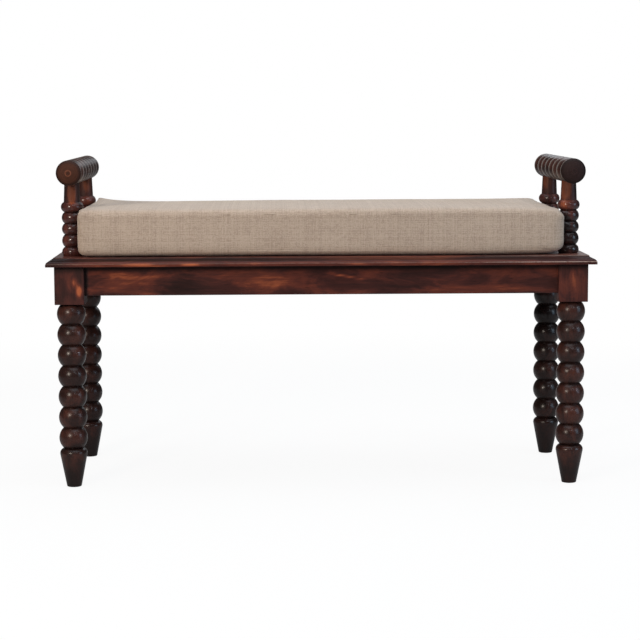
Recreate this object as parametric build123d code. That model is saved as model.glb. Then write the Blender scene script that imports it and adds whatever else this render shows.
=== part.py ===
from build123d import *
import os
from math import cos, pi, sin, sqrt

# Overall sizes, in millimetres. The bench stands on z = 0, its front faces -Y.
bench_width = 1000.0
bench_depth = 380.0
bench_height = 601.0
seat_height = 425.0

# Seat top
top_thickness = 16.0
plank_count = 4
edge_inset = 13.0
edge_nose_height = 3.0
edge_nose_radius = 7.5
edge_fillet_drop = 1.4
edge_underside_round = 0.9
leg_overhang = 14.0

# Legs
block_size = 54.0
block_height = 69.6
block_edge_round = 1.6
leg_bead_count = 7
leg_bead_radius = 26.0
leg_waist_radius = 17.6
foot_height = 72.0
foot_shoulder_height = 61.0
foot_shoulder_radius = 25.0
foot_base_radius = 13.6
foot_base_round = 1.5

# Aprons
apron_height = 54.0
apron_thickness = 22.0
apron_recess = 10.0
apron_edge_round = 1.5
tenon_thickness = 10.0
tenon_length = 24.0
tenon_shoulder = 8.0

# Cross rail under the seat
rail_thickness = 22.0
rail_height = 44.0
rail_tenon_length = 9.0
rail_screw_spacing = 140.0

# Corner blocks
corner_block_leg = 78.0
corner_block_thickness = 24.0
corner_screw_along = 46.0
corner_screw_web = 14.0
corner_top_screw_in = 34.0

# Arm posts
post_inset = 43.0
post_base_radius = 17.0
post_base_bulge = 19.6
post_base_share = 0.126
post_low_bead_share = 0.174
post_bead_share = 0.158
post_bead_count = 2
post_bead_radius = 19.2
post_waist_radius = 14.2
post_ring_share = 0.143
post_ring_radius = 20.4
post_neck_low_radius = 15.0
post_neck_top_radius = 13.6
post_spigot_radius = 8.0
post_spigot_length = 8.0
post_socket_depth = 11.0

# Arm rolls
roll_radius = 23.0
roll_groove_radius = 19.0
roll_bead_count = 8
roll_setback = 10.5
roll_post_bead = 2
roll_end_round = 9.0
roll_end_turn = 70.0
roll_mark_radius = 5.0
roll_mark_width = 0.8
roll_mark_depth = 0.4
roll_dimple_radius = 1.6
roll_dimple_depth = 1.2

# Cushion
cushion_side_gap = 1.0
cushion_setback = 18.0
cushion_edge_height = 86.0
cushion_crown = 4.0
cushion_crown_share = 0.81
cushion_corner_radius = 14.0
cushion_round_low_in = 12.0
cushion_round_low_up = 9.0
cushion_round_top_in = 10.0
cushion_round_top_down = 9.0
cushion_draw_in = 3.0
cover_thickness = 1.5
cover_low_seam = 11.0
cover_top_seam = 76.0

# Screws
screw_radius = 2.0
screw_head_radius = 4.0
screw_head_height = 2.4
screw_point = 4.0
screw_recess_depth = 1.3
screw_recess_long = 4.4
screw_recess_wide = 0.9
top_screw_length = 35.0
corner_screw_length = 28.0
post_screw_length = 45.0
counterbore_radius = 5.0

# Clearances
glue_gap = 0.1
socket_end_gap = 0.4
screw_gap = 0.1
block_gap = 0.3
soft_gap = 0.3

# Derived places
top_under = seat_height - top_thickness
half_width = bench_width / 2
half_depth = bench_depth / 2
leg_x = half_width - leg_overhang - block_size / 2
leg_y = half_depth - leg_overhang - block_size / 2
leg_inner_x = leg_x - block_size / 2
leg_inner_y = leg_y - block_size / 2
apron_bottom = top_under - apron_height
apron_outer_x = half_width - leg_overhang - apron_recess
apron_outer_y = half_depth - leg_overhang - apron_recess
apron_inner_x = apron_outer_x - apron_thickness
apron_inner_y = apron_outer_y - apron_thickness
block_bottom = top_under - block_height
leg_bead_pitch = (block_bottom - foot_height) / leg_bead_count
roll_z = bench_height - roll_radius
roll_end_angle = roll_end_turn * pi / 180
roll_face_radius = roll_radius - roll_end_round * (1 - cos(roll_end_angle))
roll_dome_radius = roll_face_radius / cos(roll_end_angle)
roll_round_length = roll_end_round * sin(roll_end_angle)
roll_dome_length = roll_dome_radius * (1 - sin(roll_end_angle))
roll_rim_y = half_depth - roll_setback - roll_round_length - roll_dome_length
roll_bead_pitch = roll_rim_y / (roll_bead_count / 2 - 0.5)
post_x = half_width - post_inset
post_y = (roll_bead_count / 2 - roll_post_bead + 0.5) * roll_bead_pitch
post_height = roll_z - roll_radius - seat_height
cushion_half_width = post_x - post_ring_radius - cushion_side_gap
cushion_half_depth = half_depth - cushion_setback
cushion_crown_run = cushion_half_depth * cushion_crown_share

# Sides of the bench: name ending, sign along X and sign along Y
corners = [
    ("front_left", -1, -1),
    ("front_right", 1, -1),
    ("rear_left", -1, 1),
    ("rear_right", 1, 1),
]


def save(name, shape):
    export_step(shape, "parts/" + name + ".step")


def block(x0, x1, y0, y1, z0, z1):
    centre = ((x0 + x1) / 2, (y0 + y1) / 2, (z0 + z1) / 2)
    return Pos(*centre) * Box(x1 - x0, y1 - y0, z1 - z0)


def to_corner(shape, side, end):
    # Shapes are made for the right and the rear; the others are their mirror images.
    if side < 0:
        shape = mirror(shape, about=Plane.YZ)
    if end < 0:
        shape = mirror(shape, about=Plane.XZ)
    return shape


def turned(start, steps):
    # A solid of revolution about Z from an outline of lines and arcs, given as (radius, z).
    edges = []
    here = start
    for step in steps:
        if len(step) == 2:
            edges.append(Line((here[0], 0, here[1]), (step[0], 0, step[1])))
            here = step
        else:
            middle, end = step[:2], step[2:]
            points = [(p[0], 0, p[1]) for p in (here, middle, end)]
            edges.append(ThreePointArc(*points))
            here = end
    edges.append(Line((here[0], 0, here[1]), (start[0], 0, start[1])))
    return revolve(Face(Wire(edges)), axis=Axis.Z)


def bead(waist, radius, low, high):
    return (radius, (low + high) / 2, waist, high)


def hole(radius, depth, place, direction):
    # A round hole from a point along a direction.
    plane = Plane(origin=place, z_dir=direction)
    return plane * Cylinder(radius, depth, align=(Align.CENTER, Align.CENTER, Align.MIN))


def shank(length):
    body = length - screw_point
    return [(screw_radius, body), (0.4, length), (0, length)]


def recess():
    cut = Box(screw_recess_long, screw_recess_wide, screw_recess_depth * 2)
    return cut + Rot(0, 0, 90) * cut


def pan_screw(length):
    # Head below z = 0, shank upwards.
    low = -screw_head_height
    outline = [
        (screw_head_radius * 0.6, low),
        (screw_head_radius * 0.92, low * 0.75, screw_head_radius, 0),
        (screw_radius, 0),
    ]
    return turned((0, low), outline + shank(length)) - Pos(0, 0, low) * recess()


def flat_screw(length):
    # Countersunk head with its flat face on z = 0, shank upwards.
    outline = [(screw_head_radius, 0), (screw_radius, screw_head_height)]
    return turned((0, 0), outline + shank(length)) - recess()


def drive(screw, place, direction):
    return Plane(origin=place, z_dir=direction) * screw


def edge_outline():
    # Moulded edge as (inset from the nose, height): rounded nose, ogee and a small fillet.
    bend = 70 * pi / 180
    ogee_in = edge_nose_radius * (1 - cos(bend))
    ogee_up = edge_nose_height + edge_nose_radius * sin(bend)
    half_bend = bend / 2
    nose_mid = (
        edge_nose_radius * (1 - cos(half_bend)),
        edge_nose_height + edge_nose_radius * sin(half_bend),
    )
    fillet_low = top_thickness - edge_fillet_drop
    run, rise = edge_inset - ogee_in, fillet_low - ogee_up
    hollow = 0.075 * sqrt(run * run + rise * rise)
    hollow_mid = (ogee_in + run / 2 + hollow * 0.5, ogee_up + rise / 2 - hollow * 0.9)
    return nose_mid, (ogee_in, ogee_up), hollow_mid, (edge_inset, fillet_low)


def moulded_prism(reach, length, along_x):
    # A bar with the moulded edge on both sides, longer than the top it will be cut to.
    nose_mid, ogee, hollow_mid, fillet = edge_outline()
    low = edge_underside_round

    def at(sign, point):
        return (sign * (reach - point[0]), point[1])

    def side(sign):
        corner = (low * 0.293, low * 0.293)
        return [
            ThreePointArc(at(sign, (low, 0)), at(sign, corner), at(sign, (0, low))),
            Line(at(sign, (0, low)), at(sign, (0, edge_nose_height))),
            ThreePointArc(at(sign, (0, edge_nose_height)), at(sign, nose_mid), at(sign, ogee)),
            ThreePointArc(at(sign, ogee), at(sign, hollow_mid), at(sign, fillet)),
            Line(at(sign, fillet), at(sign, (edge_inset, top_thickness))),
        ]

    flat = [
        Line(at(-1, (edge_inset, top_thickness)), at(1, (edge_inset, top_thickness))),
        Line(at(-1, (low, 0)), at(1, (low, 0))),
    ]
    face = Face(Wire(side(1) + side(-1) + flat))
    turn = Plane.YZ if along_x else Plane.XZ
    return extrude(turn * face, amount=length / 2, both=True)


def seat_top():
    length = moulded_prism(half_depth, bench_width + 20, True)
    width = moulded_prism(half_width, bench_depth + 20, False)
    return Pos(0, 0, top_under) * (length & width)


def seat_holes():
    cuts = []
    for name, side, end in corners:
        x, y = side * post_x, end * post_y
        spigot_low = seat_height - post_spigot_length - socket_end_gap
        cuts.append(hole(post_spigot_radius + glue_gap, top_thickness, (x, y, spigot_low), (0, 0, 1)))
        cuts.append(hole(screw_radius + screw_gap, top_thickness, (x, y, top_under), (0, 0, 1)))
        sink = Cone(
            screw_head_radius + screw_gap * 1.5,
            screw_radius + screw_gap,
            screw_head_height + screw_gap,
            align=(Align.CENTER, Align.CENTER, Align.MIN),
        )
        cuts.append(Pos(x, y, top_under) * sink)
    for x, y, z in top_screw_places():
        depth = z + top_screw_length - top_under + socket_end_gap
        cuts.append(hole(screw_radius + screw_gap, depth, (x, y, top_under), (0, 0, 1)))
    return cuts


def top_screw_places():
    # Seat of each screw head that holds the top down.
    places = []
    low = top_under - corner_block_thickness
    for name, side, end in corners:
        x = side * (apron_inner_x - corner_top_screw_in)
        y = end * (apron_inner_y - corner_top_screw_in)
        places.append((x, y, low))
    for end in (-1, 1):
        places.append((0, end * rail_screw_spacing / 2, low))
    return places


def make_planks():
    whole = seat_top()
    for cut in seat_holes():
        whole = whole - cut
    plank_width = bench_depth / plank_count
    for index in range(plank_count):
        low = -half_depth + index * plank_width
        slab = block(-half_width, half_width, low, low + plank_width, top_under, seat_height)
        save("seat_plank_" + str(index + 1), whole & slab)


def leg_turning():
    floor_radius = foot_base_radius - foot_base_round
    round_mid = foot_base_round * 0.293
    neck = leg_waist_radius
    shoulder_mid = (
        neck + (foot_shoulder_radius - neck) * 0.72,
        foot_shoulder_height + (foot_height - foot_shoulder_height) * 0.68,
    )
    steps = [
        (floor_radius, 0),
        (foot_base_radius - round_mid, round_mid, foot_base_radius, foot_base_round),
        (foot_shoulder_radius, foot_shoulder_height),
        (shoulder_mid[0], shoulder_mid[1], neck, foot_height),
    ]
    for index in range(leg_bead_count):
        low = foot_height + index * leg_bead_pitch
        steps.append(bead(neck, leg_bead_radius, low, low + leg_bead_pitch))
    steps.append((neck, block_bottom + 5))
    steps.append((0, block_bottom + 5))
    return turned((0, 0), steps)


def make_legs():
    square = Pos(0, 0, (top_under + block_bottom) / 2) * Box(block_size, block_size, block_height)
    square = fillet(square.edges().filter_by(Axis.Z), block_edge_round)
    square = fillet(square.faces().sort_by(Axis.Z)[0].edges(), block_edge_round * 0.7)
    leg = Pos(leg_x, leg_y, 0) * (square + leg_turning())
    half_tenon = tenon_thickness / 2 + glue_gap
    mid_y = (apron_outer_y + apron_inner_y) / 2
    mid_x = (apron_outer_x + apron_inner_x) / 2
    low = apron_bottom + tenon_shoulder - glue_gap
    high = top_under - tenon_shoulder + glue_gap
    deep_x = leg_inner_x + tenon_length + socket_end_gap
    deep_y = leg_inner_y + tenon_length + socket_end_gap
    leg = leg - block(leg_inner_x - 1, deep_x, mid_y - half_tenon, mid_y + half_tenon, low, high)
    leg = leg - block(mid_x - half_tenon, mid_x + half_tenon, leg_inner_y - 1, deep_y, low, high)
    for name, side, end in corners:
        save("leg_" + name, to_corner(leg, side, end))


def apron(length):
    # Runs along X with its inner face on y = 0 and its outer face on y = thickness.
    board = block(-length / 2, length / 2, 0, apron_thickness, apron_bottom, top_under)
    low_edges = board.faces().sort_by(Axis.Z)[0].edges().filter_by(Axis.X)
    board = fillet(low_edges, apron_edge_round)
    reach = length / 2 + tenon_length
    mid = apron_thickness / 2
    half_tenon = tenon_thickness / 2
    low, high = apron_bottom + tenon_shoulder, top_under - tenon_shoulder
    return board + block(-reach, reach, mid - half_tenon, mid + half_tenon, low, high)


def make_aprons():
    pilot = screw_radius + screw_gap
    pilot_depth = corner_screw_length - corner_screw_web + socket_end_gap
    screw_z = top_under - corner_block_thickness / 2
    long_apron = apron(2 * leg_inner_x)
    for side in (-1, 1):
        x = side * (apron_inner_x - corner_screw_along)
        long_apron = long_apron - hole(pilot, pilot_depth, (x, 0, screw_z), (0, 1, 0))
    half_rail = tenon_thickness / 2 + glue_gap
    rail_low = top_under - rail_height + tenon_shoulder - glue_gap
    rail_high = top_under - tenon_shoulder + glue_gap
    mortise_end = rail_tenon_length + socket_end_gap
    long_apron = long_apron - block(-half_rail, half_rail, -1, mortise_end, rail_low, rail_high)
    short_apron = apron(2 * leg_inner_y)
    for end in (-1, 1):
        y = end * (apron_inner_y - corner_screw_along)
        short_apron = short_apron - hole(pilot, pilot_depth, (y, 0, screw_z), (0, 1, 0))
    rear = Pos(0, apron_inner_y, 0) * long_apron
    save("apron_rear", rear)
    save("apron_front", mirror(rear, about=Plane.XZ))
    right = Pos(apron_inner_x, 0, 0) * Rot(0, 0, -90) * short_apron
    save("apron_right", right)
    save("apron_left", mirror(right, about=Plane.YZ))


def make_cross_rail():
    half = rail_thickness / 2
    low = top_under - rail_height
    rail = block(-half, half, -apron_inner_y, apron_inner_y, low, top_under)
    reach = apron_inner_y + rail_tenon_length
    half_tenon = tenon_thickness / 2
    tenon_low, tenon_high = low + tenon_shoulder, top_under - tenon_shoulder
    rail = rail + block(-half_tenon, half_tenon, -reach, reach, tenon_low, tenon_high)
    for x, y, z in top_screw_places():
        if x == 0:
            rail = rail - hole(counterbore_radius, z - low + 1, (x, y, low - 1), (0, 0, 1))
            rail = rail - hole(screw_radius + screw_gap, rail_height, (x, y, z), (0, 0, 1))
    save("seat_cross_rail", rail)


def make_corner_blocks():
    # Outline from the inner faces of the two aprons, notched round the leg.
    notch_x = apron_inner_x - leg_inner_x + block_gap
    notch_y = apron_inner_y - leg_inner_y + block_gap
    points = [
        (notch_x, 0),
        (corner_block_leg, 0),
        (0, corner_block_leg),
        (0, notch_y),
        (notch_x, notch_y),
    ]
    outline = [(apron_inner_x - u, apron_inner_y - v) for u, v in points]
    low = top_under - corner_block_thickness
    mid = top_under - corner_block_thickness / 2
    prism = extrude(Face(Wire.make_polygon(outline)), amount=corner_block_thickness, dir=(0, 0, 1))
    prism = Pos(0, 0, low) * prism
    along_x = apron_inner_x - corner_screw_along
    along_y = apron_inner_y - corner_screw_along
    web_x = apron_inner_x - corner_screw_web
    web_y = apron_inner_y - corner_screw_web
    shank_hole = screw_radius + screw_gap
    prism = prism - hole(counterbore_radius, corner_block_leg, (along_x, web_y, mid), (0, -1, 0))
    prism = prism - hole(counterbore_radius, corner_block_leg, (web_x, along_y, mid), (-1, 0, 0))
    prism = prism - hole(shank_hole, corner_block_leg, (along_x, web_y - 1, mid), (0, 1, 0))
    prism = prism - hole(shank_hole, corner_block_leg, (web_x - 1, along_y, mid), (1, 0, 0))
    up_x = apron_inner_x - corner_top_screw_in
    up_y = apron_inner_y - corner_top_screw_in
    prism = prism - hole(shank_hole, corner_block_leg, (up_x, up_y, low - 1), (0, 0, 1))
    screws = []
    screw = pan_screw(corner_screw_length)
    for name, side, end in corners:
        save("corner_block_" + name, to_corner(prism, side, end))
        place = (side * along_x, end * web_y, mid)
        screws.append(drive(screw, place, (0, end, 0)))
        place = (side * web_x, end * along_y, mid)
        screws.append(drive(screw, place, (side, 0, 0)))
    save("corner_block_screws", Compound(children=[s.solid() for s in screws]))


def make_top_screws():
    screw = pan_screw(top_screw_length)
    screws = [drive(screw, place, (0, 0, 1)).solid() for place in top_screw_places()]
    save("seat_top_screws", Compound(children=screws))


def post_turning():
    waist = post_waist_radius
    base_height = post_height * post_base_share
    low_bead_height = post_height * post_low_bead_share
    bead_height = post_height * post_bead_share
    ring_height = post_height * post_ring_share
    level = seat_height + base_height
    base_mid_z = seat_height + base_height * 0.42
    steps = [
        (post_spigot_radius, seat_height - post_spigot_length),
        (post_spigot_radius, seat_height),
        (post_base_radius, seat_height),
        (post_base_bulge, base_mid_z, waist, level),
        bead(waist, post_bead_radius, level, level + low_bead_height),
    ]
    level = level + low_bead_height
    for index in range(post_bead_count):
        steps.append(bead(waist, post_bead_radius, level, level + bead_height))
        level = level + bead_height
    ring_top = level + ring_height
    steps.append((post_ring_radius, level + ring_height * 0.5, post_neck_low_radius, ring_top))
    neck_top = roll_z - roll_radius
    steps.append((post_neck_top_radius, neck_top))
    steps.append((post_neck_top_radius, neck_top + post_socket_depth))
    steps.append((0, neck_top + post_socket_depth))
    return turned((0, seat_height - post_spigot_length), steps)


def make_posts():
    pilot_top = post_screw_length + socket_end_gap
    post = post_turning() - hole(screw_radius + screw_gap, pilot_top, (0, 0, top_under), (0, 0, 1))
    screw = flat_screw(post_screw_length - screw_gap)
    screws = []
    for name, side, end in corners:
        save("arm_post_" + name, Pos(side * post_x, end * post_y, 0) * post)
        place = (side * post_x, end * post_y, top_under + screw_gap)
        screws.append(drive(screw, place, (0, 0, 1)).solid())
    save("arm_post_screws", Compound(children=screws))


def roll_turning():
    # Turned about Z from the middle outwards, then laid along Y.
    groove = roll_groove_radius
    half_count = roll_bead_count // 2
    steps = []
    for index in range(half_count - 1):
        low = index * roll_bead_pitch
        steps.append(bead(groove, roll_radius, low, low + roll_bead_pitch))
    last = (half_count - 1) * roll_bead_pitch
    rim = last + roll_bead_pitch / 2
    rise = roll_radius - groove
    steps.append((groove + rise * 0.74, last + roll_bead_pitch / 4, roll_radius, rim))
    half_turn = roll_end_angle / 2
    bend = (
        roll_radius - roll_end_round * (1 - cos(half_turn)),
        rim + roll_end_round * sin(half_turn),
    )
    face_z = rim + roll_round_length
    steps.append((bend[0], bend[1], roll_face_radius, face_z))
    end_z = face_z + roll_dome_length
    dome_mid = roll_face_radius * 0.5

    def dome_at(radius):
        return end_z - roll_dome_radius + sqrt(roll_dome_radius**2 - radius**2)

    steps.append((dome_mid, dome_at(dome_mid), roll_dimple_radius, dome_at(roll_dimple_radius)))
    steps.append((0, end_z - roll_dimple_depth))
    half = turned((0, 0), [(groove, 0)] + steps)
    mark_z = dome_at(roll_mark_radius) + roll_mark_width - roll_mark_depth
    half = half - Pos(0, 0, mark_z) * Torus(roll_mark_radius, roll_mark_width)
    return half + mirror(half, about=Plane.XY)


def make_rolls():
    roll = Pos(0, 0, roll_z) * Rot(90, 0, 0) * roll_turning()
    neck_top = roll_z - roll_radius
    depth = post_socket_depth + socket_end_gap + 10
    for end in (-1, 1):
        start = (0, end * post_y, neck_top - 10)
        roll = roll - hole(post_neck_top_radius + glue_gap, depth, start, (0, 0, 1))
    save("arm_roll_left", Pos(-post_x, 0, 0) * roll)
    save("arm_roll_right", Pos(post_x, 0, 0) * roll)


def plan_outline(inset, z):
    # Outline of the cushion at one height, its sides drawn in between the corners.
    reach_x = cushion_half_width - inset
    reach_y = cushion_half_depth - inset
    radius = max(2.0, min(cushion_corner_radius, cushion_corner_radius - inset * 0.2))
    in_x, in_y = reach_x - radius, reach_y - radius
    bend = radius * 0.7071
    edges = []
    quarter = [(1, -1), (1, 1), (-1, 1), (-1, -1)]
    for index, (side, end) in enumerate(quarter):
        first = (side * reach_x, end * in_y, z)
        last = (side * in_x, end * reach_y, z)
        if side * end < 0:
            first, last = last, first
        middle = (side * (in_x + bend), end * (in_y + bend), z)
        edges.append(ThreePointArc(first, middle, last))
        if index % 2 == 0:
            far = (side * reach_x, -end * in_y, z)
            drawn = (side * (reach_x - cushion_draw_in), 0, z)
        else:
            far = (-side * in_x, end * reach_y, z)
            drawn = (0, end * (reach_y - cushion_draw_in), z)
        edges.append(ThreePointArc(last, drawn, far))
    return Wire(edges)


def low_levels(shrink):
    # Rounded base of the cushion as (inset, height), from the seat up to the lower seam.
    base = seat_height + soft_gap + shrink
    run, rise = cushion_round_low_in - shrink, cushion_round_low_up - shrink
    levels = []
    for turn in (0, 18, 36, 54, 72, 90):
        angle = turn * pi / 180
        levels.append((run * (1 - sin(angle)) + shrink, base + rise * (1 - cos(angle))))
    levels.append((shrink, seat_height + cover_low_seam))
    return levels


def top_levels(shrink):
    # From the upper seam over the rounded rim and up the crown.
    rim = seat_height + soft_gap + cushion_edge_height - shrink
    run, drop = cushion_round_top_in - shrink, cushion_round_top_down - shrink
    levels = [(shrink, seat_height + cover_top_seam)]
    for turn in (0, 18, 36, 54, 72, 86):
        angle = turn * pi / 180
        levels.append((run * (1 - cos(angle)) + shrink, rim - drop * (1 - sin(angle))))
    for share in (0.12, 0.26, 0.42, 0.6, 0.8, 1.0):
        lift = cushion_crown * sin(share * pi / 2)
        levels.append((cushion_round_top_in + share * cushion_crown_run, rim + lift))
    return levels


def cushion_part(levels):
    return loft([Face(plan_outline(inset, z)) for inset, z in levels], ruled=True)


def make_cushion():
    inner = cover_thickness
    save("cushion_cover_base", cushion_part(low_levels(0)) - cushion_part(low_levels(inner)))
    save("cushion_cover_top", cushion_part(top_levels(0)) - cushion_part(top_levels(inner)))
    seam = seat_height + cover_low_seam
    ring = Face(plan_outline(0, seam), [plan_outline(inner, seam)])
    save("cushion_cover_border", extrude(ring, amount=cover_top_seam - cover_low_seam, dir=(0, 0, 1)))
    within = cover_thickness + soft_gap
    save("cushion_foam", cushion_part(low_levels(within) + top_levels(within)))


os.makedirs("parts", exist_ok=True)
make_planks()
make_legs()
make_aprons()
make_cross_rail()
make_corner_blocks()
make_top_screws()
make_posts()
make_rolls()
make_cushion()
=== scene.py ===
import bpy
import bmesh
from math import cos, exp, hypot, pi, radians, sin
from mathutils import Matrix, Vector, noise


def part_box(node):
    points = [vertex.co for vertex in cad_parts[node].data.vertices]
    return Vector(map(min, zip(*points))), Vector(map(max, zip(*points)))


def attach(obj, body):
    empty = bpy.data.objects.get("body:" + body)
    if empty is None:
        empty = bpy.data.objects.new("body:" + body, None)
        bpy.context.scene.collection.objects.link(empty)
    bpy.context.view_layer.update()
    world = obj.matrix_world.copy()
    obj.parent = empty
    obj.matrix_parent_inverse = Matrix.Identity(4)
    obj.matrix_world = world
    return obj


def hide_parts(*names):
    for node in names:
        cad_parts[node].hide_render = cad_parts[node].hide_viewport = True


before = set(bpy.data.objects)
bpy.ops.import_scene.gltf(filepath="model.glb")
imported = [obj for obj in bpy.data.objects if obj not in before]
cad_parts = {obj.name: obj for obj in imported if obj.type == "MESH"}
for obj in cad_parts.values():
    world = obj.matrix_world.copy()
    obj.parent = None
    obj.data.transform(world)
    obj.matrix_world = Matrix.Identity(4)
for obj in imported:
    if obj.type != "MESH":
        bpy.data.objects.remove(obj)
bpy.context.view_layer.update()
scene = bpy.context.scene

# Places in metres, read from the frame.
SEAT_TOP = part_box("seat_plank_2")[1][2]
BORDER_LOW, BORDER_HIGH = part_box("cushion_cover_border")
CUSHION_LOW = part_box("cushion_cover_base")[0]
CUSHION_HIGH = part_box("cushion_cover_top")[1]

# Camera fitted to the photograph: place in metres, angles in degrees, focal length in pixels.
CAMERA_PLACE = (-0.0846, -3.4967, 0.6940)
CAMERA_YAW = 1.388
CAMERA_PITCH = 6.608
CAMERA_ROLL = 0.200
CAMERA_FOCAL_PX = 1834.3
PHOTO_WIDTH_PX = 640
SENSOR_MM = 36.0


class Nodes:
    """Short hand for building the node tree of a material or of the world."""

    def __init__(self, owner, output_kind):
        owner.use_nodes = True
        self.owner = owner
        self.tree = owner.node_tree
        self.tree.nodes.clear()
        self.output = self.add(output_kind)

    def add(self, kind, **settings):
        node = self.tree.nodes.new(kind)
        for key, value in settings.items():
            setattr(node, key, value)
        return node

    def link(self, out, into):
        self.tree.links.new(out, into)

    def put(self, socket, value):
        if isinstance(value, bpy.types.NodeSocket):
            self.link(value, socket)
        else:
            socket.default_value = value

    def place(self):
        return self.add("ShaderNodeTexCoord").outputs["Object"]

    def math(self, operation, a, b=0.0):
        node = self.add("ShaderNodeMath", operation=operation)
        self.put(node.inputs[0], a)
        self.put(node.inputs[1], b)
        return node.outputs[0]

    def times(self, a, b):
        return self.math("MULTIPLY", a, b)

    def total(self, *terms):
        """Sum of values, each times its weight."""
        result = self.times(*terms[0])
        for value, weight in terms[1:]:
            result = self.math("ADD", result, self.times(value, weight))
        return result

    def mapping(self, vector, scale=(1, 1, 1), place=(0, 0, 0), turn=(0, 0, 0)):
        node = self.add("ShaderNodeMapping")
        self.link(vector, node.inputs["Vector"])
        node.inputs["Location"].default_value = place
        node.inputs["Rotation"].default_value = turn
        node.inputs["Scale"].default_value = scale
        return node.outputs["Vector"]

    def noise(self, vector, scale, detail, roughness, distortion=0.0, place=(0, 0, 0)):
        node = self.add("ShaderNodeTexNoise")
        self.link(self.mapping(vector, scale=scale, place=place), node.inputs["Vector"])
        node.inputs["Scale"].default_value = 1.0
        node.inputs["Detail"].default_value = detail
        node.inputs["Roughness"].default_value = roughness
        node.inputs["Distortion"].default_value = distortion
        return node.outputs["Fac"]

    def random(self, value):
        node = self.add("ShaderNodeTexWhiteNoise", noise_dimensions="1D")
        self.link(value, node.inputs["W"])
        return node.outputs["Value"]

    def ramp(self, factor, stops):
        node = self.add("ShaderNodeValToRGB")
        self.link(factor, node.inputs["Fac"])
        elements = node.color_ramp.elements
        while len(elements) < len(stops):
            elements.new(0.5)
        for element, (place, colour) in zip(elements, stops):
            element.position = place
            element.color = (*colour, 1.0)
        return node.outputs["Color"]

    def range(self, value, low, high, to_low, to_high, kind="LINEAR"):
        node = self.add("ShaderNodeMapRange", interpolation_type=kind)
        self.link(value, node.inputs["Value"])
        node.inputs["From Min"].default_value = low
        node.inputs["From Max"].default_value = high
        node.inputs["To Min"].default_value = to_low
        node.inputs["To Max"].default_value = to_high
        return node.outputs["Result"]

    def smooth(self, value, low, high, to_low=0.0, to_high=1.0):
        return self.range(value, low, high, to_low, to_high, "SMOOTHSTEP")

    def mix(self, factor, a, b):
        node = self.add("ShaderNodeMix", data_type="RGBA")
        self.put(node.inputs["Factor"], factor)
        self.put(node.inputs["A"], a)
        self.put(node.inputs["B"], b)
        return node.outputs["Result"]

    def mix_shader(self, share, first, second):
        node = self.add("ShaderNodeMixShader")
        self.link(share, node.inputs[0])
        self.link(first.outputs[0], node.inputs[1])
        self.link(second.outputs[0], node.inputs[2])
        return node

    def principled(self, **values):
        node = self.add("ShaderNodeBsdfPrincipled")
        for key, value in values.items():
            self.put(node.inputs[key.replace("_", " ")], value)
        self.link(node.outputs[0], self.output.inputs["Surface"])

    def parts(self, vector):
        node = self.add("ShaderNodeSeparateXYZ")
        self.link(vector, node.inputs[0])
        return node.outputs[0], node.outputs[1], node.outputs[2]

    def vector(self, x=0.0, y=0.0, z=0.0):
        node = self.add("ShaderNodeCombineXYZ")
        for socket, value in zip(node.inputs, (x, y, z)):
            self.put(socket, value)
        return node.outputs[0]

    def length(self, a, b):
        return self.math("SQRT", self.math("ADD", self.times(a, a), self.times(b, b)))

    def bump(self, height, strength, distance):
        node = self.add("ShaderNodeBump")
        node.inputs["Strength"].default_value = strength
        node.inputs["Distance"].default_value = distance
        self.link(height, node.inputs["Height"])
        return node.outputs["Normal"]


def material_nodes(name):
    return Nodes(bpy.data.materials.new(name), "ShaderNodeOutputMaterial")


def middle(name, axis):
    low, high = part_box(name)
    return (low[axis] + high[axis]) / 2


def lookup(table, name, default=None):
    """Value of the first key that the node's name begins with."""
    return next((table[key] for key in table if name.startswith(key)), default)


# Turn that lays the grain, which runs along local X, along each axis of the bench.
GRAIN_TURN = {"X": (0, 0, 0), "Y": (0, 0, radians(90)), "Z": (0, radians(90), 0)}

# Repeats per metre of the wood's patterns, along the grain and across it, and the shift from piece to piece.
SEED_SHIFT = (1.731, 0.917, 0.433)
WANDER_SCALE = (4.0, 9.0, 9.0)
WANDER_REACH = (0.045, 0.03)
FIGURE_ACROSS = 30
RING_SCALE = (3.2, 95, 95)
FIBRE_SCALE = (16, 520, 520)
PORE_SCALE = (46, 1000, 1000)
PATCH_SCALE = (9, 14, 14)
GLINT_BREAK_SCALE = (110, 40, 40)

# Chestnut stain from the darkest pores to the brightest flame.
STAIN = [
    (0.00, (0.017, 0.0086, 0.0080)),
    (0.28, (0.038, 0.0148, 0.0134)),
    (0.50, (0.077, 0.0234, 0.0194)),
    (0.74, (0.148, 0.0380, 0.0248)),
    (1.00, (0.470, 0.1220, 0.0500)),
]
# The browner stain of the legs' beads and of the rolls.
TURNED_STAIN = [
    (0.00, (0.014, 0.0074, 0.0066)),
    (0.28, (0.035, 0.0139, 0.0112)),
    (0.50, (0.072, 0.0238, 0.0170)),
    (0.74, (0.142, 0.0450, 0.0255)),
    (1.00, (0.285, 0.1000, 0.0440)),
]
# Dark of the pores and of the rolls' end rims, also laid in as painted shade in grooves and bands; the
# colours of the painted highlights along the seat's edges and on the rolls' crests.
PORE_AND_SHADE_COLOUR = (0.010, 0.0050, 0.0044, 1.0)
EDGE_GLINT_COLOUR = (0.46, 0.33, 0.28, 1.0)
CREST_HIGHLIGHT_COLOUR = (0.27, 0.215, 0.175, 1.0)
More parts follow.
